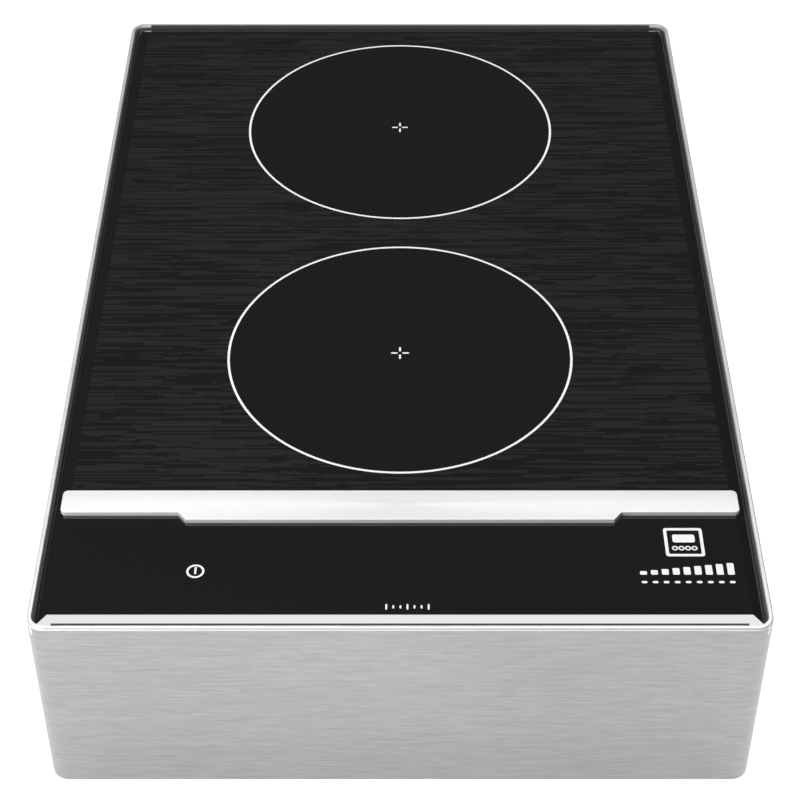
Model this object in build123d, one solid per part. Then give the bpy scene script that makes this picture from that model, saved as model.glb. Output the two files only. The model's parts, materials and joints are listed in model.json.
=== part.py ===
from build123d import *
import math
import os

# Two-zone commercial countertop induction hob, 400 x 600 mm module.
# Frame: origin on the bench under the middle of the appliance, +Z up,
# front (control side) towards -Y, all lengths in millimetres.

os.makedirs("parts", exist_ok=True)

# ---------------------------------------------------------------- driving sizes
BODY_W = 400.0          # casing width
BODY_D = 600.0          # casing depth
BODY_H = 130.0          # height of the brushed casing
GROUND = 12.0           # casing's lower edge above the bench
SHEET = 1.5             # stainless sheet
CORNER_R = 10.0         # vertical casing corners
RIM_T = 2.7             # folded rim around the glass
RIM_FILLET = 1.2
LEDGE_IN = 18.0         # glass ledge, measured in from the casing's outside
RIM_TOP = GROUND + BODY_H

GLASS_T = 6.0
GLASS_SINK = 0.8        # glass face below the rim
GLASS_GAP = 1.4         # silicone joint between glass edge and rim
BEVEL_W = 6.8
BEVEL_DROP = 2.4
SEAL_T = 1.5

BAR_T = 2.7
BAR_X = 191.0
BAR_BACK = -197.3
BAR_SIDE = -214.9
BAR_MID = -220.6
BAR_NOTCH_OUT = 124.5
BAR_NOTCH_IN = 120.0

ZONES = {"front": -75.6, "rear": 165.1}   # coil centres along Y
WIRE_R = 2.2            # litz bundle
WIRE_PITCH = 5.0
COIL_R0 = 27.0
COIL_TURNS = 14
CARRIER_R = 101.0

GLASS_TOP = RIM_TOP - GLASS_SINK
GLASS_BOT = GLASS_TOP - GLASS_T
LEDGE_TOP = GLASS_BOT - SEAL_T
DECK_Z = 104.0          # underside of the aluminium coil deck
FLOOR_Z = GROUND        # top of the base plate
FAN_X = 92.0
FAN_Y0, FAN_Y1 = -176.0, -151.0
FAN_SIZE = 80.0
FAN_Z = 52.0
REAR_X = 150.0          # half width of the rear recess
REAR_Z0, REAR_Z1 = 24.0, 114.0
REAR_IN = 273.5         # inner face of the recessed rear panel
FOOT_X, FOOT_Y = 165.0, 262.0
FOOT_TRAVEL = 12.0
PILLARS = [(sx * 165.0, y) for sx in (-1, 1) for y in (-168.0, 45.0, 232.0)]
SHIFT = 0.01            # overcut for clean booleans


# ---------------------------------------------------------------- helpers
def block(x0, x1, y0, y1, z0, z1):
    return Pos((x0 + x1) / 2, (y0 + y1) / 2, (z0 + z1) / 2) * Box(x1 - x0, y1 - y0, z1 - z0)


def rrect(w, d, r, z0, z1, x=0.0, y=0.0):
    return Pos(x, y, z0) * extrude(RectangleRounded(w, d, r), z1 - z0)


def rod(x, y, z0, z1, r):
    return Pos(x, y, (z0 + z1) / 2) * Cylinder(r, z1 - z0)


def rod_y(x, z, y0, y1, r):
    return Pos(x, (y0 + y1) / 2, z) * Rot(90, 0, 0) * Cylinder(r, y1 - y0)


def hexz(x, y, z0, z1, af):
    return Pos(x, y, z0) * extrude(RegularPolygon(af / 2, 6, major_radius=False), z1 - z0)


def hexy(x, z, y0, y1, af):
    # extrudes towards +Y
    return Pos(x, y0, z) * Rot(-90, 0, 0) * extrude(RegularPolygon(af / 2, 6, major_radius=False), y1 - y0)


def soft(shape, r, axis=Axis.Z):
    # rounds the edges that run along the given axis
    return fillet(shape.edges().filter_by(axis), r)


def group(items):
    flat = []
    for it in items:
        flat.extend(it.solids())
    return flat[0] if len(flat) == 1 else Compound(children=flat)


NODES = {}


def node(name, *items):
    shape = group(items)
    NODES[name] = shape
    export_step(shape, f"parts/{name}.step")
    return shape


def wire(points, radius, radii):
    path = FilletPolyline(*points, radius=radii)
    start = path @ 0
    return sweep(Plane(origin=start, z_dir=path % 0) * Circle(radius), path=path)


def pan_screw(x, y, z_seat, length, head_r=3.9, head_h=2.4, shank_r=1.95, down=True):
    # head sits on z_seat; shank runs down (or up) from it
    if down:
        head = rod(x, y, z_seat, z_seat + head_h, head_r)
        head = fillet(head.edges().group_by(Axis.Z)[-1], 1.2)
        head = head - rod(x, y, z_seat + head_h - 1.2, z_seat + head_h + 1, 1.5)
        return head + rod(x, y, z_seat - length, z_seat + 0.2, shank_r)
    head = rod(x, y, z_seat - head_h, z_seat, head_r)
    head = fillet(head.edges().group_by(Axis.Z)[0], 1.2)
    head = head - rod(x, y, z_seat - head_h - 1, z_seat - head_h + 1.2, 1.5)
    return head + rod(x, y, z_seat - 0.2, z_seat + length, shank_r)


def pan_screw_y(x, z, y_seat, length, head_r=3.9, head_h=2.4, shank_r=1.95):
    head = rod_y(x, z, y_seat, y_seat + head_h, head_r)
    head = fillet(head.edges().group_by(Axis.Y)[-1], 1.2)
    head = head - rod_y(x, z, y_seat + head_h - 1.2, y_seat + head_h + 1, 1.5)
    return head + rod_y(x, z, y_seat - length, y_seat + 0.2, shank_r)


# ---------------------------------------------------------------- casing
outer = rrect(BODY_W, BODY_D, CORNER_R, GROUND, RIM_TOP)
outer = fillet(outer.edges().group_by(Axis.Z)[-1], RIM_FILLET)
outer = fillet(outer.edges().group_by(Axis.Z)[0], 0.4)
inner = rrect(BODY_W - 2 * SHEET, BODY_D - 2 * SHEET, CORNER_R - SHEET, GROUND + SHEET, LEDGE_TOP - SHEET)
rim_w, rim_d = BODY_W - 2 * RIM_T, BODY_D - 2 * RIM_T
well = rrect(rim_w, rim_d, 7.5, LEDGE_TOP, RIM_TOP + 1)
ledge = rrect(BODY_W - 2 * LEDGE_IN, BODY_D - 2 * LEDGE_IN, 4, LEDGE_TOP - SHEET - 1, LEDGE_TOP + 1)
FLANGE_X, FLANGE_Y = BODY_W / 2 - 12.0, BODY_D / 2 - 12.0
below = rrect(2 * FLANGE_X, 2 * FLANGE_Y, 4, GROUND - 1, GROUND + SHEET + 1)
window = block(-REAR_X, REAR_X, BODY_D / 2 - 5, BODY_D / 2 + 5, REAR_Z0, REAR_Z1)
window = soft(window, 4, Axis.Y)
shell = outer - inner - well - ledge - below - window
shell = chamfer(shell.edges().filter_by(lambda e: abs(e.center().Z - RIM_TOP) < 0.01 and e.bounding_box().size.Z < 0.01 and abs(e.center().X) < rim_w / 2 + 0.05 and abs(e.center().Y) < rim_d / 2 + 0.05), 0.25)

BASE_Z0 = GROUND - SHEET
flange_screws = (
    [(sx * 194.0, y) for sx in (-1, 1) for y in (-215.0, -70.0, 70.0, 215.0)]
    + [(x, sy * 290.5) for sy in (-1, 1) for x in (-146.0, 146.0)]
)
for x, y in flange_screws:
    shell = shell - rod(x, y, GROUND - 1, GROUND + SHEET + 1, 2.0)
node("housing_shell", shell)

# base plate under the casing flange, with intake slots and rear upstand
base = rrect(BODY_W - 3.4, BODY_D - 3.4, 8.3, BASE_Z0, GROUND)
slots = Sketch() + [
    Pos(x * 7.0, y) * Rectangle(3.5, 36.0) for x in range(-15, 16) for y in (-252.0, -208.0)
]
base = base - Pos(0, 0, BASE_Z0 - 1) * extrude(slots, SHEET + 2)
for x, y in flange_screws:
    base = base - rod(x, y, BASE_Z0 - 1, GROUND + 1, 2.2)
feet_xy = {
    "front_left": (-FOOT_X, -FOOT_Y),
    "front_right": (FOOT_X, -FOOT_Y),
    "rear_left": (-FOOT_X, FOOT_Y),
    "rear_right": (FOOT_X, FOOT_Y),
}
for x, y in feet_xy.values():
    base = base - rod(x, y, BASE_Z0 - 1, GROUND + 1, 4.4)
UP_Y0 = REAR_IN - SHEET
base = base + block(-140, 140, UP_Y0, REAR_IN, GROUND - 0.5, 34)
for x in (-120.0, 0.0, 120.0):
    base = base - rod_y(x, 30.5, UP_Y0 - 1, REAR_IN + 1, 2.0)
node("base_plate", base)

# recessed rear panel with exhaust slots, cable entry and bonding point
PW, PZ0, PZ1 = REAR_X - 0.5, REAR_Z0 + 0.5, REAR_Z1 - 0.5
panel = block(-PW, PW, REAR_IN, BODY_D / 2 - 0.4, PZ0, PZ1)
panel = soft(panel, 3.6, Axis.Y)
hollow = block(-PW + SHEET, PW - SHEET, REAR_IN + SHEET, BODY_D / 2 + 1, PZ0 + SHEET, PZ1 - SHEET)
hollow = soft(hollow, 2.1, Axis.Y)
panel = panel - hollow
GLAND_X, GLAND_Z = -112.0, 58.0
STUD_X, STUD_Z = -72.0, 46.0
vents = [block(x - 1.75, x + 1.75, REAR_IN - 1, REAR_IN + SHEET + 1, 48.0, 88.0) for x in [-32.0 + 8.0 * i for i in range(21)]]
for v in vents:
    panel = panel - v
panel = panel - rod_y(GLAND_X, GLAND_Z, REAR_IN - 1, REAR_IN + SHEET + 1, 10.2)
panel = panel - rod_y(STUD_X, STUD_Z, REAR_IN - 1, REAR_IN + SHEET + 1, 3.2)
rear_screws = [(x, 30.5) for x in (-120.0, 0.0, 120.0)] + [(x, 98.5) for x in (-120.0, 0.0, 120.0)]
for x, z in rear_screws:
    panel = panel - rod_y(x, z, REAR_IN - 1, REAR_IN + SHEET + 1, 2.2)
node("rear_panel", panel)

# ---------------------------------------------------------------- glass top
GX, GY = BODY_W / 2 - RIM_T - GLASS_GAP, BODY_D / 2 - RIM_T - GLASS_GAP
plate = rrect(2 * GX, 2 * GY, 6.0, GLASS_BOT, GLASS_TOP)
# four sloping planes, wide enough at the bottom to clear the plate's sides
roof = loft([
    Pos(0, 0, GLASS_TOP - 3 * BEVEL_DROP) * Rectangle(2 * (GX + 2 * BEVEL_W), 2 * (GY + 2 * BEVEL_W)),
    Pos(0, 0, GLASS_TOP) * Rectangle(2 * (GX - BEVEL_W), 2 * (GY - BEVEL_W)),
])
glass = plate & roof
node("glass_top", glass)

seal = rrect(rim_w, rim_d, 7.5, LEDGE_TOP, GLASS_TOP - BEVEL_DROP + 0.6)
seal = seal - rrect(2 * GX, 2 * GY, 6.0, GLASS_BOT, GLASS_TOP + 1)
seal = seal - rrect(BODY_W - 2 * LEDGE_IN, BODY_D - 2 * LEDGE_IN, 4, LEDGE_TOP - 1, GLASS_BOT + 1)
# the front and rear joints are filled up to the rim
for sy in (-1, 1):
    ya, yb = sorted((sy * rim_d / 2, sy * GY))
    seal = seal + block(-186, 186, ya, yb, GLASS_TOP - BEVEL_DROP + 0.3, RIM_TOP - 0.1)
node("glass_seal", seal)

# divider bar: side lands narrower than the centre section
outline = Polyline(
    (-BAR_X, BAR_BACK), (BAR_X, BAR_BACK), (BAR_X, BAR_SIDE), (BAR_NOTCH_OUT, BAR_SIDE),
    (BAR_NOTCH_IN, BAR_MID), (-BAR_NOTCH_IN, BAR_MID), (-BAR_NOTCH_OUT, BAR_SIDE), (-BAR_X, BAR_SIDE),
    close=True,
)
bar = Pos(0, 0, GLASS_TOP) * extrude(make_face(outline), BAR_T)
bar = fillet([e for e in bar.edges().filter_by(Axis.Z) if abs(e.center().X) > BAR_X - 1], 3.2)
bar = fillet(bar.edges().group_by(Axis.Z)[-1], 0.45)
node("divider_bar", bar)

# ---------------------------------------------------------------- coil deck
deck = block(-180, 180, -192, REAR_IN, DECK_Z, DECK_Z + SHEET)
deck = soft(deck, 4)
deck = deck + block(-140, 140, UP_Y0, REAR_IN, 91, DECK_Z + 0.5)
for x, y in PILLARS:
    deck = deck - rod(x, y, DECK_Z - 1, DECK_Z + SHEET + 1, 2.2)
for x in (-120.0, 0.0, 120.0):
    deck = deck - rod_y(x, 98.5, UP_Y0 - 1, REAR_IN + 1, 2.0)
# where the two coil ends pass down, measured from the coil centre
LEADS_XY = ((27.0, -6.0), (97.0, 7.0))
for zy in ZONES.values():
    deck = deck - rod(0, zy, DECK_Z - 1, DECK_Z + SHEET + 1, 12)
    for lx, ly in LEADS_XY:
        deck = deck - rod(lx, zy + ly, DECK_Z - 1, DECK_Z + SHEET + 1, 4)
    ring = Sketch() + [
        Rot(0, 0, 15 + 30 * k) * Pos(60, 0) * SlotOverall(34, 5) for k in range(12)
    ]
    deck = deck - Pos(0, zy, DECK_Z - 1) * extrude(ring, SHEET + 2)
for x in (-130.0, 130.0):
    deck = deck - rod(x, -186.0, DECK_Z - 1, DECK_Z + SHEET + 1, 2.2)
node("coil_deck", deck)

pillars = []
for x, y in PILLARS:
    p = hexz(x, y, FLOOR_Z, DECK_Z, 9.0) - rod(x, y, DECK_Z - 14, DECK_Z + 1, 2.0)
    pillars.append(p)
node("deck_pillars", *pillars)

# ---------------------------------------------------------------- coils
CARRIER_Z0, CARRIER_Z1 = 123.2, 126.2
WIND_Z = CARRIER_Z1 + WIRE_R
BLANKET_Z0 = WIND_Z + WIRE_R + 0.1


def spiral(cy):
    x, r, s, edges = COIL_R0, COIL_R0, 1, []
    for k in range(2 * COIL_TURNS):
        xn = x - 2 * r * s
        cx = (x + xn) / 2
        edges.append(ThreePointArc((x, 0, 0), (cx, r * s, 0), (xn, 0, 0)))
        x, r, s = xn, r + WIRE_PITCH / 2, -s
    path = Wire(edges)
    body = sweep(Plane(origin=(COIL_R0, 0, 0), z_dir=(0, 1, 0)) * Circle(WIRE_R), path=path)
    return Pos(0, cy, WIND_Z) * body, x


springs = []
ferrites = []
sensors = {}
for zone, zy in ZONES.items():
    winding, end_x = spiral(zy)
    node(f"{zone}_coil_winding", winding)

    carrier = rod(0, 0, CARRIER_Z0, CARRIER_Z1, CARRIER_R)
    for a in range(8):
        carrier = carrier - Rot(0, 0, 45 * a) * Pos(55, 0, CARRIER_Z0 - 1) * extrude(SlotOverall(42, 7), 6)
    carrier = carrier - rod(0, 0, CARRIER_Z0 - 1, CARRIER_Z1 + 1, 13)
    for lx, ly in LEADS_XY:
        carrier = carrier - rod(lx, ly, CARRIER_Z0 - 1, CARRIER_Z1 + 1, 2.6)
    # guards each side of the ferrite bars
    for a in range(8):
        for y0 in (-8.2, 6.6):
            carrier = carrier + Rot(0, 0, 22.5 + 45 * a) * block(31, 96, y0, y0 + 1.6, CARRIER_Z0 - 5.5, CARRIER_Z0 + 0.5)
    carrier = Pos(0, zy, 0) * carrier
    node(f"{zone}_coil_carrier", carrier)
    for a in range(8):
        bar_f = block(34, 94, -6.4, 6.4, CARRIER_Z0 - 5.2, CARRIER_Z0)
        ferrites.append(Pos(0, zy, 0) * Rot(0, 0, 22.5 + 45 * a) * bar_f)
    blanket = rod(0, zy, BLANKET_Z0, GLASS_BOT, CARRIER_R) - rod(0, zy, BLANKET_Z0 - 1, GLASS_BOT + 1, 13)
    node(f"{zone}_coil_blanket", blanket)
    for a in (45, 135, 225, 315):
        cx, cy = 88 * math.cos(math.radians(a)), zy + 88 * math.sin(math.radians(a))
        turns = 4
        z0, z1 = DECK_Z + SHEET + 0.6, CARRIER_Z0 - 0.6
        helix = Helix(pitch=(z1 - z0) / turns, height=z1 - z0, radius=4.2)
        coil = sweep(Plane(origin=helix @ 0, z_dir=helix % 0) * Circle(0.55), path=helix, is_frenet=True)
        springs.append(Pos(cx, cy, z0) * coil)
    # spring-loaded temperature probe in the coil's eye
    probe = rod(0, zy, 121.0, GLASS_BOT, 7.5)
    probe = fillet(probe.edges().group_by(Axis.Z)[-1], 1.5)
    probe = probe + rod(0, zy, DECK_Z + SHEET, 121.5, 4.0) + rod(0, zy, DECK_Z + SHEET, DECK_Z + SHEET + 2.0, 11.8 + 3)
    node(f"{zone}_temperature_probe", probe)
node("coil_ferrites", *ferrites)
node("coil_springs", *springs)

# ---------------------------------------------------------------- fans
FRAME_R = 37.8
fan_frames = {}
rotors = {}
for side, sx in (("left", -1), ("right", 1)):
    # built with its axis along +Z, then turned so that air flows towards +Y
    fr = rrect(FAN_SIZE, FAN_SIZE, 5, 0, FAN_Y1 - FAN_Y0)
    fr = fr - Cylinder(FRAME_R, 80)
    for hx in (-1, 1):
        for hy in (-1, 1):
            fr = fr - rod(hx * 35.75, hy * 35.75, -1, 30, 2.2)
    # stator holder and three struts at the outlet end
    hub = rod(0, 0, 20.5, 25, 16.0)
    struts = [Rot(0, 0, 30 + 120 * k) * block(10, FRAME_R + 0.5, -1.6, 1.6, 22.0, 25.0) for k in range(3)]
    for s in struts:
        fr = fr + s
    fr = fr + hub + rod(0, 0, 6.0, 21.0, 4.0)
    fr = fr - rod(0, 0, -1, 24.0, 1.55)
    place = Pos(sx * FAN_X, FAN_Y0, FAN_Z) * Rot(-90, 0, 0)
    node(f"{side}_fan_frame", place * fr)
    # rotor: cup, shaft and seven twisted blades
    cup = rod(0, 0, 2.0, 19.6, 17.0)
    cup = fillet(cup.edges().group_by(Axis.Z)[0], 2.0)
    cup = cup - rod(0, 0, 3.6, 20, 15.2)
    cup = cup + rod(0, 0, 3.0, 22.5, 1.5)
    for k in range(7):
        secs = []
        for rr, chord, ang in ((16.4, 18.0, 48.0), (26.0, 21.0, 38.0), (36.6, 24.0, 30.0)):
            pl = Plane(origin=(rr, 0, 10.8), x_dir=(0, 1, 0), z_dir=(1, 0, 0))
            secs.append(pl * Rot(0, 0, ang) * Rectangle(chord, 1.5))
        blade = loft(secs)
        blade = blade & (Pos(0, 0, 10.8) * Cylinder(37.2, 17.4))
        cup = cup + Rot(0, 0, 360 / 7 * k) * blade
    node(f"{side}_fan_rotor", place * cup)

# plastic hood that carries the fans and steers the air over the heat sinks
HX = 138.0
duct = block(-HX, HX, -178, 150, FLOOR_Z, 100) - block(-HX + 2, HX - 2, -176, 151, FLOOR_Z - 1, 98)
duct = duct + block(-1, 1, -176, 150, 24, 99)
for sx in (-1, 1):
    duct = duct - rod_y(sx * FAN_X, FAN_Z, -179, -175, 38.5)
duct = duct - block(-60, 60, 100, 151, 97, 101)
duct = duct - block(135, 140, -146, -138, 26, 44)
for x, y in ((27.0, ZONES["front"] - 6.0), (40.0, ZONES["front"] + 7.0)):
    duct = duct - rod(x, y, 97, 101, 3.5)
node("air_duct", duct)

# ---------------------------------------------------------------- power boards
PCB_Z0, PCB_Z1 = 20.0, 21.6
transistors, caps, chokes, screws_b = [], [], [], []
for side, sx in (("left", -1), ("right", 1)):
    x_in, x_out = sx * 8.0, sx * 132.0
    b = block(min(x_in, x_out), max(x_in, x_out), -142, 146, PCB_Z0, PCB_Z1)
    spots = [(sx * 12.0, -137.0), (sx * 128.0, -137.0), (sx * 12.0, 141.0), (sx * 128.0, 141.0)]
    for x, y in spots:
        b = b - rod(x, y, PCB_Z0 - 1, PCB_Z1 + 1, 1.7)
        st = hexz(x, y, FLOOR_Z, PCB_Z0, 6.0) - rod(x, y, FLOOR_Z + 1, PCB_Z0 + 1, 1.5)
        screws_b.append(st)
        screws_b.append(pan_screw(x, y, PCB_Z1, 6.0, 2.8, 1.8, 1.45))
    node(f"{side}_power_board", b)
    hx0, hx1 = FAN_X - 38.0, FAN_X + 38.0
    ribs = block(hx0, hx1, -128, 112, PCB_Z1, PCB_Z1 + 7)
    n = 11
    for k in range(n):
        fx = hx0 + k * (hx1 - hx0 - 2.0) / (n - 1)
        ribs = ribs + block(fx, fx + 2.0, -128, 112, PCB_Z1 + 6, 92)
    if sx < 0:
        ribs = mirror(ribs, Plane.YZ)
    node(f"{side}_heat_sink", ribs)
    # power switches clipped to the sink's inner flank
    for ty in (-90.0, -30.0, 60.0):
        t = block(sx * (hx0 - 5.0) if sx > 0 else -hx0, sx * hx0 if sx > 0 else -(hx0 - 5.0), ty - 8, ty + 8, 32, 53)
        t = soft(t, 0.6, Axis.X)
        for lx in (-5.4, 0, 5.4):
            xx = sx * (hx0 - 2.5)
            t = t + block(xx - 0.4, xx + 0.4, ty + lx - 0.6, ty + lx + 0.6, PCB_Z1, 32.5)
        transistors.append(t)
    for cy_, w_ in ((-108.0, 18.0), (-62.0, 18.0), (14.0, 20.0)):
        c = block(min(sx * 14, sx * (14 + w_)), max(sx * 14, sx * (14 + w_)), cy_ - 16, cy_ + 16, PCB_Z1, PCB_Z1 + 32)
        c = fillet(c.edges().filter_by(Axis.Z), 1.5)
        c = fillet(c.edges().group_by(Axis.Z)[-1], 1.0)
        caps.append(c)
    chokes.append(Pos(sx * 31.0, 80.0, PCB_Z1 + 6.5) * Torus(11.0, 6.5))
node("power_transistors", *transistors)
node("resonance_capacitors", *caps)
node("power_board_chokes", *chokes)

# ---------------------------------------------------------------- mains side
fb = block(-44, 136, 170, 262, PCB_Z0, PCB_Z1)
for x, y in ((-38.0, 176.0), (130.0, 176.0), (-38.0, 256.0), (130.0, 256.0)):
    fb = fb - rod(x, y, PCB_Z0 - 1, PCB_Z1 + 1, 1.7)
    screws_b.append(hexz(x, y, FLOOR_Z, PCB_Z0, 6.0) - rod(x, y, FLOOR_Z + 1, PCB_Z0 + 1, 1.5))
    screws_b.append(pan_screw(x, y, PCB_Z1, 6.0, 2.8, 1.8, 1.45))
node("filter_board", fb)
fchokes = []
for cx in (10.0, 62.0):
    core = Pos(cx, 214, PCB_Z1 + 20.0) * Rot(0, 90, 0) * Torus(13.0, 6.8)
    foot = block(cx - 9, cx + 9, 202, 226, PCB_Z1, PCB_Z1 + 3.0)
    fchokes += [core - foot, foot]
node("filter_chokes", *fchokes)
fcaps = []
for cx, cy_, w_, d_, h_ in ((100.0, 200.0, 28.0, 18.0, 24.0), (100.0, 228.0, 28.0, 18.0, 24.0), (-24.0, 214.0, 12.0, 26.0, 22.0), (36.0, 246.0, 26.0, 11.0, 20.0)):
    c = block(cx - w_ / 2, cx + w_ / 2, cy_ - d_ / 2, cy_ + d_ / 2, PCB_Z1, PCB_Z1 + h_)
    c = fillet(c.edges().filter_by(Axis.Z), 1.2)
    fcaps.append(fillet(c.edges().group_by(Axis.Z)[-1], 0.8))
node("filter_capacitors", *fcaps)

tb = block(-140, -70, 210, 240, FLOOR_Z, 38)
tb = tb - block(-141, -69, 208, 215, 30, 40) - block(-141, -69, 235, 242, 30, 40)
for k in range(5):
    tx = -133.0 + 14.0 * k
    tb = tb - rod(tx, 225, 28, 40, 3.6)
    tb = tb - rod_y(tx, 22.0, 209, 222, 3.0) - rod_y(tx, 22.0, 229, 241, 3.0)
node("terminal_block", tb)
tscrews = []
for k in range(5):
    tx = -133.0 + 14.0 * k
    s = rod(tx, 225, 28.0, 31.5, 3.3) - block(tx - 4, tx + 4, 224.5, 225.5, 30.6, 32)
    tscrews.append(s)
screws_b += tscrews

# bonding stud on the rear panel
stud = hexy(STUD_X, STUD_Z, REAR_IN - 4.0, REAR_IN, 10.0) + rod_y(STUD_X, STUD_Z, REAR_IN - 1, 282.0, 2.5) + rod_y(STUD_X, STUD_Z, 281.5, 296.0, 3.0)
stud = chamfer(stud.edges().group_by(Axis.Y)[-1], 0.5)
washer = rod_y(STUD_X, STUD_Z, REAR_IN + SHEET, REAR_IN + SHEET + 1.2, 6.0) - rod_y(STUD_X, STUD_Z, REAR_IN, 290, 3.3)
nut = hexy(STUD_X, STUD_Z, REAR_IN + SHEET + 1.2, REAR_IN + SHEET + 6.0, 10.0) - rod_y(STUD_X, STUD_Z, REAR_IN, 290, 2.55)
node("bonding_stud", stud, washer, nut)

# cable gland: body through the panel, locknut inside, clamping cap outside
gx, gz = GLAND_X, GLAND_Z
body = rod_y(gx, gz, 263.0, 276.0, 10.0) + hexy(gx, gz, 275.0, 279.5, 24.0) + rod_y(gx, gz, 279.0, 287.0, 10.0)
body = body - rod_y(gx, gz, 262.0, 277.1, 6.6) - rod_y(gx, gz, 277.0, 288.0, 8.05)
node("gland_body", body)
lock = hexy(gx, gz, 268.5, REAR_IN, 26.0) - rod_y(gx, gz, 267, 275, 10.05)
node("gland_locknut", lock)
gseal = rod_y(gx, gz, 277.1, 290.4, 8.0) - rod_y(gx, gz, 276, 292, 6.0)
node("gland_seal", gseal)
cap = hexy(gx, gz, 279.7, 287.5, 24.0) + rod_y(gx, gz, 287.0, 293.5, 11.6)
cap = fillet(cap.edges().group_by(Axis.Y)[-1], 2.2)
cap = cap - rod_y(gx, gz, 279, 287.3, 10.05) - rod_y(gx, gz, 287.2, 290.5, 8.05) - rod_y(gx, gz, 290, 295, 7.2)
node("gland_cap", cap)

# ---------------------------------------------------------------- controls
CB_Z0, CB_Z1 = 125.4, 127.0
cb = block(-150, 150, -280, -204, CB_Z0, CB_Z1)
cb_spots = [(-144.0, -274.0), (144.0, -274.0), (-144.0, -210.0), (144.0, -210.0)]
for x, y in cb_spots:
    cb = cb - rod(x, y, CB_Z0 - 1, CB_Z1 + 1, 1.7)
node("control_board", cb)
br = block(-156, 156, -283, -192, 118.0, 119.5) + block(-156, 156, -193.5, -192, DECK_Z + SHEET, 119.0)
br = br + block(-140, 140, -193, -180, DECK_Z + SHEET, DECK_Z + 2 * SHEET)
br = br - block(-126, 126, -200, -179, DECK_Z, DECK_Z + 12)
br = br - block(-100, 100, -268, -216, 117, 121)
for x, y in cb_spots:
    br = br - rod(x, y, 117, 121, 1.4)
for x in (-130.0, 130.0):
    br = br - rod(x, -186.0, DECK_Z, DECK_Z + 5, 2.2)
node("control_bracket", br)
for x, y in cb_spots:
    screws_b.append(rod(x, y, 119.5, CB_Z0, 3.0) - rod(x, y, 119, 126, 1.6))
    screws_b.append(pan_screw(x, y, CB_Z1, 8.4, 2.8, 1.8, 1.4))
touch = []
for tx in (-112.0, -60.0, -30.0, 0.0, 30.0, 60.0, 90.0):
    key = rod(tx, -258.2, CB_Z1, GLASS_BOT, 3.4) - rod(tx, -258.2, CB_Z1 + 1.0, GLASS_BOT - 1.0, 4.0)
    key = key + rod(tx, -258.2, CB_Z1, GLASS_BOT, 2.2) + rod(tx, -258.2, GLASS_BOT - 0.8, GLASS_BOT, 6.5)
    touch.append(key)
node("touch_sensors", *touch)
disp = []
for tx in (-44.0, 44.0):
    d = block(tx - 19, tx + 19, -244, -228, CB_Z1, GLASS_BOT - 0.6)
    d = d - block(tx - 17.2, tx + 17.2, -242.2, -229.8, GLASS_BOT - 1.6, GLASS_BOT)
    disp.append(d)
node("display_modules", *disp)

for x in (-130.0, 130.0):
    screws_b.append(pan_screw(x, -186.0, DECK_Z + 2 * SHEET, 7.0))
for x, y in PILLARS:
    screws_b.append(pan_screw(x, y, DECK_Z + SHEET, 10.0))
node("board_fasteners", *screws_b)

cs = [pan_screw(x, y, BASE_Z0, 6.0, down=False) for x, y in flange_screws]
cs += [pan_screw_y(x, z, REAR_IN + SHEET, 8.0) for x, z in rear_screws]
node("casing_screws", *cs)

# ---------------------------------------------------------------- wiring
LEAD_R = 1.6
LEAD_Z = 101.9          # level at which the leads cross above the air duct
zf, zr = ZONES["front"], ZONES["rear"]
leads = [
    wire([(27.0, zf, WIND_Z), (27.0, zf - 6.0, WIND_Z), (27.0, zf - 6.0, PCB_Z1)], LEAD_R, 3.5),
    wire([(97.0, zf, WIND_Z), (97.0, zf + 7.0, WIND_Z), (97.0, zf + 7.0, LEAD_Z), (40.0, zf + 7.0, LEAD_Z), (40.0, zf + 7.0, PCB_Z1)], LEAD_R, 3.5),
    wire([(27.0, zr, WIND_Z), (27.0, zr - 6.0, WIND_Z), (27.0, zr - 6.0, LEAD_Z), (-27.0, 134.0, LEAD_Z), (-27.0, 134.0, PCB_Z1)], LEAD_R, 3.5),
    wire([(97.0, zr, WIND_Z), (97.0, zr + 7.0, WIND_Z), (97.0, zr + 7.0, LEAD_Z), (-44.0, 116.0, LEAD_Z), (-44.0, 116.0, PCB_Z1)], LEAD_R, 3.5),
]
node("coil_leads", *leads)

wires = []
for k, tx in enumerate((-133.0, -119.0, -105.0)):
    # terminal block to line filter
    zt = 22.0
    wires.append(wire([(tx, 215.0, zt), (tx, 196.0 - 5 * k, zt), (-80.0 + 6 * k, 186.0 - 5 * k, 32.0), (-38.0 - 0.5 * k, 190.0 + 6 * k, 38.0), (-38.0 - 0.5 * k, 190.0 + 6 * k, PCB_Z1)], 1.5, 5.0))
for wx in (-30.0, -20.0, 20.0, 30.0):
    # line filter to the two power boards
    wires.append(wire([(wx, 180.0, PCB_Z1), (wx, 180.0, 34.0), (wx, 141.0, 34.0), (wx, 141.0, PCB_Z1)], 1.5, 5.0))
for wx in (-92.0, -88.0, 88.0, 92.0):
    # fan motor leads
    wires.append(wire([(wx, FAN_Y1, 45.0), (wx, -136.0, 45.0), (wx, -136.0, PCB_Z1)], 1.0, 4.0))
node("internal_wires", *wires)

flat = block(158, 159, -250, -236, 28, 121) + block(158, 159, -250, -141.5, 28, 42)
flat = flat + block(121, 159, -142.5, -141.5, 28, 42) + block(151, 159, -250, -236, 120.5, 121.5)
flat = flat + block(108, 122, -142.5, -136, PCB_Z1, 42) + block(138, 152, -252, -234, 119.5, CB_Z0)
node("control_ribbon", flat)

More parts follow.
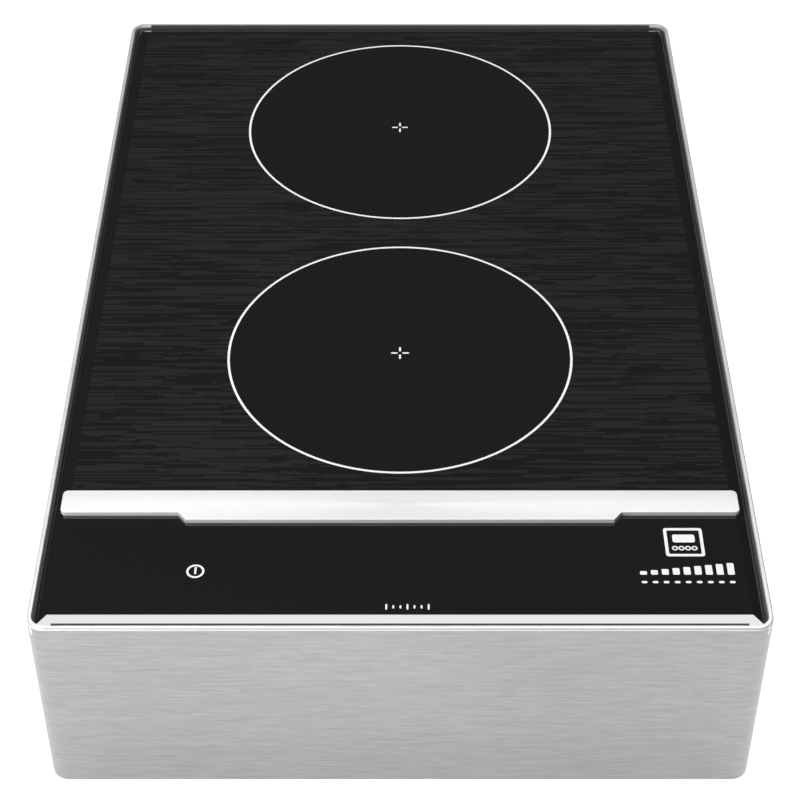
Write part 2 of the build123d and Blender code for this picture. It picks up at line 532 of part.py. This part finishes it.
# ---------------------------------------------------------------- grease filter
RAIL_Z = 3.2
rails = []
for sx in (-1, 1):
    def bx(a, c, y0, y1, z0, z1):
        return block(min(sx * a, sx * c), max(sx * a, sx * c), y0, y1, z0, z1)
    r = bx(124.5, 136.0, -284, -176, 9.3, BASE_Z0) + bx(124.5, 125.7, -284, -176, RAIL_Z, BASE_Z0) + bx(118.5, 125.7, -284, -176, RAIL_Z, 4.2)
    r = r + bx(112.0, 125.7, -177.2, -176, RAIL_Z, BASE_Z0)
    rails.append(r)
node("filter_rails", *rails)

FX, FY0, FY1, FZ0, FZ1 = 123.9, -284.0, -178.0, 4.7, 9.6
ff = block(-FX, FX, FY0, FY1, FZ0, FZ1) - block(-FX + 7, FX - 7, FY0 + 7, FY1 - 7, FZ0 + 1.0, FZ1 + 1) - block(-FX + 9, FX - 9, FY0 + 9, FY1 - 9, FZ0 - 1, FZ1 + 1)
ff = ff + block(-30, 30, FY0 - 5.0, FY0 + 0.5, FZ0 - 1.2, FZ0 + 0.4) + block(-30, 30, FY0 - 5.0, FY0 - 3.8, FZ0 - 1.2, FZ1 - 1.0)
node("filter_frame", ff)
pts_top, pts_bot = [], []
npl = 44
x0, x1 = -FX + 7.3, FX - 7.3
for k in range(npl + 1):
    x = x0 + (x1 - x0) * k / npl
    z = (FZ0 + 1.2) if k % 2 == 0 else (FZ1 - 1.0)
    pts_top.append((x, z + 0.45))
    pts_bot.append((x, z - 0.0))
prof = Polyline(*pts_top, *reversed(pts_bot), close=True)
pleat = extrude(Plane(origin=(0, FY0 + 7.3, 0), x_dir=(1, 0, 0), z_dir=(0, -1, 0)) * make_face(prof), -(FY1 - FY0 - 14.6))
node("filter_mesh", pleat)

# ---------------------------------------------------------------- levelling feet
nuts = []
for name, (x, y) in feet_xy.items():
    pad = rod(x, y, 0, 5.6, 18.0)
    pad = fillet(pad.edges().group_by(Axis.Z)[0], 1.0)
    pad = fillet(pad.edges().group_by(Axis.Z)[-1], 1.6)
    pad = pad - rod(x, y, 2.4, 6.0, 7.4)
    node(f"foot_pad_{name}", pad)
    st = rod(x, y, 2.45, 4.6, 7.0) + hexz(x, y, 5.9, 9.6, 13.0) + rod(x, y, 4.0, 46.0, 3.95)
    st = chamfer(st.edges().group_by(Axis.Z)[-1], 0.8)
    node(f"foot_stud_{name}", st)
    nut_ = hexz(x, y, FLOOR_Z, FLOOR_Z + 6.5, 13.0) - rod(x, y, FLOOR_Z - 1, FLOOR_Z + 8, 4.0)
    nuts.append(nut_)
node("foot_nuts", *nuts)

print(len(NODES), "nodes")
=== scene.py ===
import bpy, bmesh, json, math
from mathutils import Vector, Matrix


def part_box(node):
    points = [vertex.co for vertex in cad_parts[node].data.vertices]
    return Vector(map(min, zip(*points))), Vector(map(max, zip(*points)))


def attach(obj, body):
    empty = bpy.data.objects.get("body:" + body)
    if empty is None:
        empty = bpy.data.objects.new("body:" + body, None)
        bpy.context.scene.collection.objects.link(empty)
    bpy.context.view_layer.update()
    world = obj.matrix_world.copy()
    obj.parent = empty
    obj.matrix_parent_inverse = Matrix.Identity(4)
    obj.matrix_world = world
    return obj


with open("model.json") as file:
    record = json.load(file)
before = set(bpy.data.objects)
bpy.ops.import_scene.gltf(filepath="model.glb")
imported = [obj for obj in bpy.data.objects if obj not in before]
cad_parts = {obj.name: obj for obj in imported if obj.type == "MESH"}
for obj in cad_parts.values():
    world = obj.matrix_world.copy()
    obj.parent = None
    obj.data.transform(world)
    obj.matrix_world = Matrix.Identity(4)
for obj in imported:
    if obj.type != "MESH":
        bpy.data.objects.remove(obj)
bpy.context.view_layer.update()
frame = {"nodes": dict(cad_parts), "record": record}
nodes = frame["nodes"]
scene = bpy.context.scene
scene.view_settings.view_transform = "Standard"
scene.view_settings.look = "None"

GLASS_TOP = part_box("glass_top")[1].z
ZONES = (-0.0756, 0.1651)
RING_R = 0.1048


# ------------------------------------------------------------------ materials
class Mat:
    """small helper around one Principled material"""

    def __init__(self, name):
        self.m = bpy.data.materials.new(name)
        self.m.use_nodes = True
        self.t = self.m.node_tree
        self.b = next(n for n in self.t.nodes if n.type == "BSDF_PRINCIPLED")
        self.co = None

    def node(self, kind, **props):
        n = self.t.nodes.new(kind)
        for k, v in props.items():
            setattr(n, k, v)
        return n

    def link(self, a, b):
        self.t.links.new(a, b)

    def coord(self):
        if self.co is None:
            self.co = self.node("ShaderNodeTexCoord").outputs["Object"]
        return self.co

    def noise(self, scale=(1, 1, 1), size=1.0, detail=3.0, rough=0.55, offset=(0, 0, 0)):
        mp = self.node("ShaderNodeMapping")
        mp.inputs["Scale"].default_value = scale
        mp.inputs["Location"].default_value = offset
        self.link(self.coord(), mp.inputs["Vector"])
        n = self.node("ShaderNodeTexNoise")
        n.inputs["Scale"].default_value = size
        n.inputs["Detail"].default_value = detail
        n.inputs["Roughness"].default_value = rough
        self.link(mp.outputs[0], n.inputs["Vector"])
        return n.outputs["Fac"]

    def ramp(self, fac, stops):
        r = self.node("ShaderNodeValToRGB")
        e = r.color_ramp.elements
        while len(e) < len(stops):
            e.new(0.5)
        for el, (p, c) in zip(e, stops):
            el.position = p
            el.color = (*c, 1) if len(c) == 3 else c
        self.link(fac, r.inputs["Fac"])
        return r.outputs["Color"]

    def math(self, op, a, b=None, c=None, clamp=False):
        n = self.node("ShaderNodeMath", operation=op, use_clamp=clamp)
        for i, v in enumerate((a, b, c)):
            if v is None:
                continue
            if isinstance(v, (int, float)):
                n.inputs[i].default_value = v
            else:
                self.link(v, n.inputs[i])
        return n.outputs[0]

    def span(self, fac, lo, hi):
        n = self.node("ShaderNodeMapRange")
        n.inputs["From Min"].default_value, n.inputs["From Max"].default_value = 0.3, 0.7
        n.inputs["To Min"].default_value, n.inputs["To Max"].default_value = lo, hi
        self.link(fac, n.inputs["Value"])
        return n.outputs["Result"]

    def mix(self, fac, a, b):
        n = self.node("ShaderNodeMix", data_type="RGBA")
        self.link(fac, n.inputs["Factor"])
        for v, s in ((a, n.inputs["A"]), (b, n.inputs["B"])):
            if isinstance(v, tuple):
                s.default_value = (*v, 1)
            else:
                self.link(v, s)
        return n.outputs["Result"]

    def bump(self, height, strength=0.1, distance=0.0002):
        n = self.node("ShaderNodeBump")
        n.inputs["Strength"].default_value = strength
        n.inputs["Distance"].default_value = distance
        self.link(height, n.inputs["Height"])
        self.link(n.outputs[0], self.b.inputs["Normal"])

    def set(self, **kw):
        for k, v in kw.items():
            s = self.b.inputs[k.replace("_", " ")]
            if hasattr(v, "links"):
                self.link(v, s)
            else:
                s.default_value = (*v, 1) if isinstance(v, tuple) else v
        return self


def brushed(name, lo, hi, rough=(0.27, 0.40), scale=(42, 42, 1100), strength=0.12, metallic=1.0, aniso=0.35, highlight_color=None):
    """brushed sheet: short streaks along the sheet, slow mottling, faint bump"""
    m = Mat(name)
    fine = m.noise(scale, 1.0, 4.0, 0.6)
    mid = m.noise((75, 75, 520), 1.0, 3.0, 0.6, (3.1, 1.7, 0.4))
    slow = m.noise((6, 6, 9), 1.0, 2.0, 0.5, (7.3, 2.2, 5.0))
    s = m.math("MULTIPLY", fine, 0.5)
    s = m.math("MULTIPLY_ADD", mid, 0.3, s)
    s = m.math("MULTIPLY_ADD", slow, 0.2, s)
    col = m.ramp(s, [(0.32, lo), (0.68, hi)])
    metal = metallic
    if highlight_color is not None:
        # painted highlight: upward faces of the folded rim, the rim's inner walls and all faces above the rim top get
        # a lighter, less metallic colour than the brushed sides, in place of the light that falls on them
        geo = m.node("ShaderNodeNewGeometry")
        ns = m.node("ShaderNodeSeparateXYZ")
        m.link(geo.outputs["True Normal"], ns.inputs[0])
        sp = m.node("ShaderNodeSeparateXYZ")
        m.link(m.coord(), sp.inputs[0])
        highlight_mask = m.math("MULTIPLY", m.math("GREATER_THAN", ns.outputs[2], 0.35), m.math("GREATER_THAN", sp.outputs[2], 0.135))
        # painted highlight on the rim's inner walls, standing in for the lit wall
        wall_highlight_mask = m.math("GREATER_THAN", sp.outputs[2], 0.1345)
        wall_highlight_mask = m.math("MULTIPLY", wall_highlight_mask, m.math("LESS_THAN", m.math("ABSOLUTE", sp.outputs[0]), 0.1976))
        wall_highlight_mask = m.math("MULTIPLY", wall_highlight_mask, m.math("LESS_THAN", m.math("ABSOLUTE", sp.outputs[1]), 0.2976))
        highlight_mask = m.math("MAXIMUM", highlight_mask, wall_highlight_mask)
        # painted highlight along the rounded top fold of the rim
        highlight_mask = m.math("MAXIMUM", highlight_mask, m.math("GREATER_THAN", sp.outputs[2], 0.1406))
        col = m.mix(highlight_mask, col, highlight_color)
        metal = m.math("MULTIPLY_ADD", highlight_mask, -0.6, 1.0)
    m.set(Base_Color=col, Metallic=metal, Roughness=m.span(fine, *rough), Anisotropic=aniso)
    m.bump(fine, strength)
    return m.m


def plain(name, color, rough=0.5, metallic=0.0, grain=600.0, vary=0.16, strength=0.15, **kw):
    """moulded or cast surface: slow tone change and a fine grain"""
    m = Mat(name)
    g = m.noise((1, 1, 1), grain, 3.0, 0.6)
    slow = m.noise((1, 1, 1), 18.0, 2.0, 0.5, (1.3, 4.1, 2.2))
    s = m.math("MULTIPLY_ADD", g, 0.45, m.math("MULTIPLY", slow, 0.55))
    lo = tuple(c * (1 - vary) for c in color)
    hi = tuple(min(1.0, c * (1 + vary)) for c in color)
    m.set(Base_Color=m.ramp(s, [(0.35, lo), (0.65, hi)]), Metallic=metallic, Roughness=m.span(slow, max(0.02, rough - 0.06), min(1.0, rough + 0.06)), **kw)
    m.bump(g, strength, 0.0001)
    return m.m


def glass_material():
    m = Mat("black_glass_ceramic")
    sep = m.node("ShaderNodeSeparateXYZ")
    m.link(m.coord(), sep.inputs[0])
    x, y, z = sep.outputs
    # printed dashes: straight rows across the width, each row broken up on its own
    row = m.math("FLOOR", m.math("MULTIPLY", y, 820.0))
    cmb = m.node("ShaderNodeCombineXYZ")
    m.link(m.math("MULTIPLY", x, 14.0), cmb.inputs[0])
    m.link(m.math("MULTIPLY", row, 3.73), cmb.inputs[1])
    nz = m.node("ShaderNodeTexNoise")
    nz.inputs["Scale"].default_value, nz.inputs["Detail"].default_value = 1.0, 2.0
    m.link(cmb.outputs[0], nz.inputs["Vector"])
    lines = m.math("GREATER_THAN", nz.outputs["Fac"], 0.5)
    area = None
    for v in (m.math("GREATER_THAN", y, -0.1935), m.math("LESS_THAN", y, 0.2868), m.math("LESS_THAN", m.math("ABSOLUTE", x), 0.1868)):
        area = v if area is None else m.math("MULTIPLY", area, v)
    for zy in ZONES:
        r = m.math("SQRT", m.math("ADD", m.math("MULTIPLY", x, x), m.math("POWER", m.math("ABSOLUTE", m.math("SUBTRACT", y, zy)), 2.0)))
        area = m.math("MULTIPLY", area, m.math("GREATER_THAN", r, RING_R))
    fac = m.math("MULTIPLY", area, lines)
    col = m.mix(fac, (0.0095, 0.0095, 0.0095), (0.0185, 0.0185, 0.018))
    # painted reflection: the front and rear bevels get a near-white metallic mirror colour so they show a bright
    # strip, brighter than the polished face and the side bevels, which keep the dark glass colour
    geo = m.node("ShaderNodeNewGeometry")
    ns = m.node("ShaderNodeSeparateXYZ")
    m.link(geo.outputs["True Normal"], ns.inputs[0])
    bevel_reflection_mask = m.math("MULTIPLY", m.math("LESS_THAN", ns.outputs[2], 0.985), m.math("GREATER_THAN", ns.outputs[2], 0.6))
    bevel_reflection_mask = m.math("MULTIPLY", bevel_reflection_mask, m.math("GREATER_THAN", m.math("ABSOLUTE", ns.outputs[1]), 0.1))
    # painted reflection colour for the front and rear bevels
    col = m.mix(bevel_reflection_mask, col, (0.80, 0.80, 0.80))
    m.set(Base_Color=col, Metallic=bevel_reflection_mask, Roughness=m.math("MULTIPLY_ADD", fac, 0.04, m.math("MULTIPLY_ADD", bevel_reflection_mask, 0.03, 0.055)), IOR=1.9)
    return m.m


# the casing steel carries a painted highlight colour on the rim top and inner walls
steel = brushed("brushed_steel", (0.275, 0.272, 0.268), (0.40, 0.396, 0.39), highlight_color=(0.68, 0.68, 0.68))
bar_steel = brushed("divider_steel", (0.72, 0.72, 0.715), (0.765, 0.765, 0.76), (0.36, 0.44), (9, 900, 9), 0.05, 0.4)
dull_steel = brushed("zinc_steel", (0.42, 0.42, 0.43), (0.58, 0.58, 0.59), (0.35, 0.5), (30, 30, 500), 0.1)
alu = brushed("mill_aluminium", (0.60, 0.61, 0.62), (0.78, 0.79, 0.80), (0.32, 0.48), (12, 500, 12), 0.08)
glass = glass_material()
silicone = plain("black_silicone", (0.022, 0.022, 0.022), 0.55)
rubber = plain("foot_rubber", (0.028, 0.028, 0.028), 0.68, strength=0.3)
copper = plain("litz_copper", (0.72, 0.33, 0.17), 0.33, 0.9, 2500, 0.22, 0.5)
fibre = plain("ceramic_fibre", (0.78, 0.77, 0.72), 0.95, 0.0, 900, 0.08, 0.6)
dark_plastic = plain("moulded_black", (0.035, 0.035, 0.037), 0.48)
ferrite = plain("ferrite", (0.05, 0.05, 0.053), 0.62, 0.0, 1500, 0.2, 0.3)
duct_mat = plain("duct_grey", (0.16, 0.165, 0.17), 0.5)
cap_mat = plain("capacitor_blue", (0.05, 0.12, 0.36), 0.3)
wire_mat = plain("wire_sheath", (0.42, 0.03, 0.025), 0.42)
beige = plain("terminal_beige", (0.62, 0.60, 0.54), 0.45)
brass = plain("brass", (0.70, 0.50, 0.22), 0.28, 1.0, 800, 0.1, 0.08)
mesh_mat = plain("filter_wire", (0.55, 0.55, 0.54), 0.38, 1.0, 2600, 0.3, 0.9)


def board_material():
    m = Mat("circuit_board")
    tr = m.noise((220, 60, 60), 1.0, 1.0, 0.4)
    tr2 = m.noise((60, 220, 60), 1.0, 1.0, 0.4, (4, 1, 2))
    f = m.math("MAXIMUM", m.math("GREATER_THAN", tr, 0.56), m.math("GREATER_THAN", tr2, 0.57))
    m.set(Base_Color=m.mix(f, (0.008, 0.085, 0.035), (0.02, 0.16, 0.06)), Roughness=m.math("MULTIPLY_ADD", f, -0.1, 0.42))
    m.bump(f, 0.2, 0.00004)
    return m.m


board = board_material()
by_slot = {
    "casing_steel": steel, "divider_steel": bar_steel, "black_glass": glass, "black_silicone": silicone,
    "aluminium": alu, "zinc_steel": dull_steel, "copper_litz": copper, "fibre_blanket": fibre,
    "carrier_plastic": dark_plastic, "ferrite": ferrite, "circuit_board": board, "component_black": dark_plastic,
    "capacitor_plastic": cap_mat, "fan_plastic": dark_plastic, "duct_plastic": duct_mat, "wire_pvc": wire_mat,
    "gland_plastic": dark_plastic, "terminal_plastic": beige, "brass_fitting": brass, "foot_rubber": rubber,
    "filter_steel": mesh_mat,
}
for sp in frame["record"]["subparts"]:
    ob = nodes[sp["node"]]
    mat = by_slot[sp["material_slot"]]
    if not ob.material_slots:
        ob.data.materials.append(mat)
    for s in ob.material_slots:
        s.material = mat


# ------------------------------------------------------------------ fired white prints on the glass
white = plain("white_print", (0.86, 0.86, 0.86), 0.35, 0.0, 1800, 0.03, 0.05)
PRINT_Z0, PRINT_Z1 = GLASS_TOP + 0.000002, GLASS_TOP + 0.00005


def prism(bm, outer, hole=None):
    """closed thin prism of one outline, with an optional matching inner outline"""
    def ring(pts, z):
        return [bm.verts.new((px, py, z)) for px, py in pts]
    ob_, ot = ring(outer, PRINT_Z0), ring(outer, PRINT_Z1)
    n = len(outer)
    for i in range(n):
        j = (i + 1) % n
        bm.faces.new((ob_[i], ob_[j], ot[j], ot[i]))
    if hole is None:
        bm.faces.new(ot)
        bm.faces.new(list(reversed(ob_)))
        return
    hb, ht = ring(hole, PRINT_Z0), ring(hole, PRINT_Z1)
    for i in range(n):
        j = (i + 1) % n
        bm.faces.new((hb[j], hb[i], ht[i], ht[j]))
        bm.faces.new((ot[i], ot[j], ht[j], ht[i]))
        bm.faces.new((ob_[j], ob_[i], hb[i], hb[j]))


def arc(cx, cy, r, a0=0.0, a1=360.0, n=96, close=True):
    k = n if close else n + 1
    return [(cx + r * math.cos(math.radians(a0 + (a1 - a0) * i / n)), cy + r * math.sin(math.radians(a0 + (a1 - a0) * i / n))) for i in range(k)]


def circle_line(bm, cx, cy, r, w, n=192):
    prism(bm, arc(cx, cy, r + w / 2, n=n), arc(cx, cy, r - w / 2, n=n))


def stroke(bm, x0, y0, x1, y1, w, caps=8):
    """straight stroke with round ends"""
    a = math.atan2(y1 - y0, x1 - x0)
    pts = []
    for cx, cy, base in ((x1, y1, a - math.pi / 2), (x0, y0, a + math.pi / 2)):
        for i in range(caps + 1):
            t = base + math.pi * i / caps
            pts.append((cx + w / 2 * math.cos(t), cy + w / 2 * math.sin(t)))
    prism(bm, pts)


def round_box(x0, y0, x1, y1, r, n=6):
    pts = []
    for cx, cy, a in ((x1 - r, y0 + r, -90), (x1 - r, y1 - r, 0), (x0 + r, y1 - r, 90), (x0 + r, y0 + r, 180)):
        for i in range(n + 1):
            t = math.radians(a + 90 * i / n)
            pts.append((cx + r * math.cos(t), cy + r * math.sin(t)))
    return pts


def open_arc(bm, cx, cy, r, w, a0, a1, n=40):
    o, i = arc(cx, cy, r + w / 2, a0, a1, n, False), arc(cx, cy, r - w / 2, a0, a1, n, False)
    prism(bm, o + list(reversed(i)))


def finish_print(bm, name):
    bmesh.ops.recalc_face_normals(bm, faces=bm.faces)
    me = bpy.data.meshes.new(name)
    bm.to_mesh(me)
    bm.free()
    o = bpy.data.objects.new(name, me)
    scene.collection.objects.link(o)
    me.materials.append(white)
    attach(o, "casing")
    return o


for label, zy in zip(("front", "rear"), ZONES):
    bm = bmesh.new()
    circle_line(bm, 0, zy, RING_R, 0.00145, 256)
    for dx, dy in ((1, 0), (-1, 0), (0, 1), (0, -1)):
        stroke(bm, dx * 0.00195, zy + dy * 0.00195, dx * 0.0049, zy + dy * 0.0049, 0.0012)
    finish_print(bm, label + "_zone_mark")

bm = bmesh.new()
px, py = -0.1119, -0.2575
circle_line(bm, px, py, 0.00435, 0.0012, 64)
stroke(bm, px, py - 0.0016, px, py + 0.0026, 0.0011)
finish_print(bm, "power_mark")

# generic pictogram: a pan over coil windings, inside a frame, and a plain level scale under it
bm = bmesh.new()
cx, cy = 0.1575, -0.2355
prism(bm, round_box(cx - 0.0108, cy - 0.0108, cx + 0.0108, cy + 0.0108, 0.0016), round_box(cx - 0.0090, cy - 0.0090, cx + 0.0090, cy + 0.0090, 0.0008))
prism(bm, round_box(cx - 0.0062, cy - 0.0002, cx + 0.0062, cy + 0.0058, 0.0012))
for k in range(4):
    circle_line(bm, cx - 0.0054 + 0.0036 * k, cy - 0.0046, 0.0013, 0.0008, 32)
finish_print(bm, "pan_mark")
bm = bmesh.new()
for k in range(9):
    bx = 0.157 - 0.0240 + 0.0060 * k
    h = 0.0026 + 0.00075 * k
    prism(bm, round_box(bx - 0.0019, -0.2600, bx + 0.0019, -0.2600 + h, 0.0006))
    stroke(bm, bx - 0.0008, -0.2655, bx + 0.0008, -0.2655, 0.0016)
finish_print(bm, "level_mark")
bm = bmesh.new()
for k in range(7):
    bx = 0.004 - 0.0114 + 0.0038 * k
    hh = 0.0019 if k % 3 == 0 else 0.0011
    stroke(bm, bx, -0.2835 - hh + 0.0004, bx, -0.2835 + hh - 0.0004, 0.0010)
finish_print(bm, "front_tick_mark")

# ------------------------------------------------------------------ floor, light, camera
bm = bmesh.new()
bmesh.ops.create_grid(bm, x_segments=8, y_segments=8, size=6.0)
me = bpy.data.meshes.new("floor")
bm.to_mesh(me)
bm.free()
floor = bpy.data.objects.new("floor", me)
scene.collection.objects.link(floor)
fm = Mat("floor_white")
fm.set(Base_Color=(0.55, 0.55, 0.55), Roughness=0.9, Emission_Color=(1.0, 1.0, 1.0), Emission_Strength=0.86)
fm.b.inputs["Specular IOR Level"].default_value = 0.0
me.materials.append(fm.m)

world = bpy.data.worlds.new("studio")
scene.world = world
world.use_nodes = True
bg = world.node_tree.nodes["Background"]
bg.inputs["Color"].default_value = (1, 1, 1, 1)
bg.inputs["Strength"].default_value = 0.035


def area(name, loc, target, sx, sy, radiance):
    l = bpy.data.lights.new(name, "AREA")
    l.shape = "RECTANGLE"
    l.size, l.size_y = sx, sy
    l.energy = radiance * math.pi * sx * sy
    o = bpy.data.objects.new(name, l)
    scene.collection.objects.link(o)
    o.location = loc
    o.rotation_euler = (Vector(target) - Vector(loc)).to_track_quat("-Z", "Y").to_euler()
    return o


area("overhead", (0, -0.42, 2.0), (0, -0.42, 0), 2.4, 0.9, 0.97)
area("high_back", (0, 0.58, 2.0), (0, 0.20, 0), 2.4, 1.0, 5.0)
area("left_front", (-0.95, -1.15, 0.55), (-0.1, -0.3, 0.08), 0.6, 0.6, 17.0)
area("right_soft", (2.2, -0.6, 1.1), (0, 0, 0.1), 1.4, 1.4, 0.6)
area("back_soft", (0, 2.6, 0.45), (0, 0, 0.1), 3.0, 0.4, 0.5)

cam = bpy.data.cameras.new("camera")
cam.lens = 91.80
cam.sensor_width = 36.0
camera = bpy.data.objects.new("camera", cam)
scene.collection.objects.link(camera)
camera.location = (0.0, -1.0193, 0.142 + 0.8192)
camera.rotation_euler = (math.radians(90 - 42.307), 0, 0)
cam.clip_start, cam.clip_end = 0.01, 50
scene.camera = camera
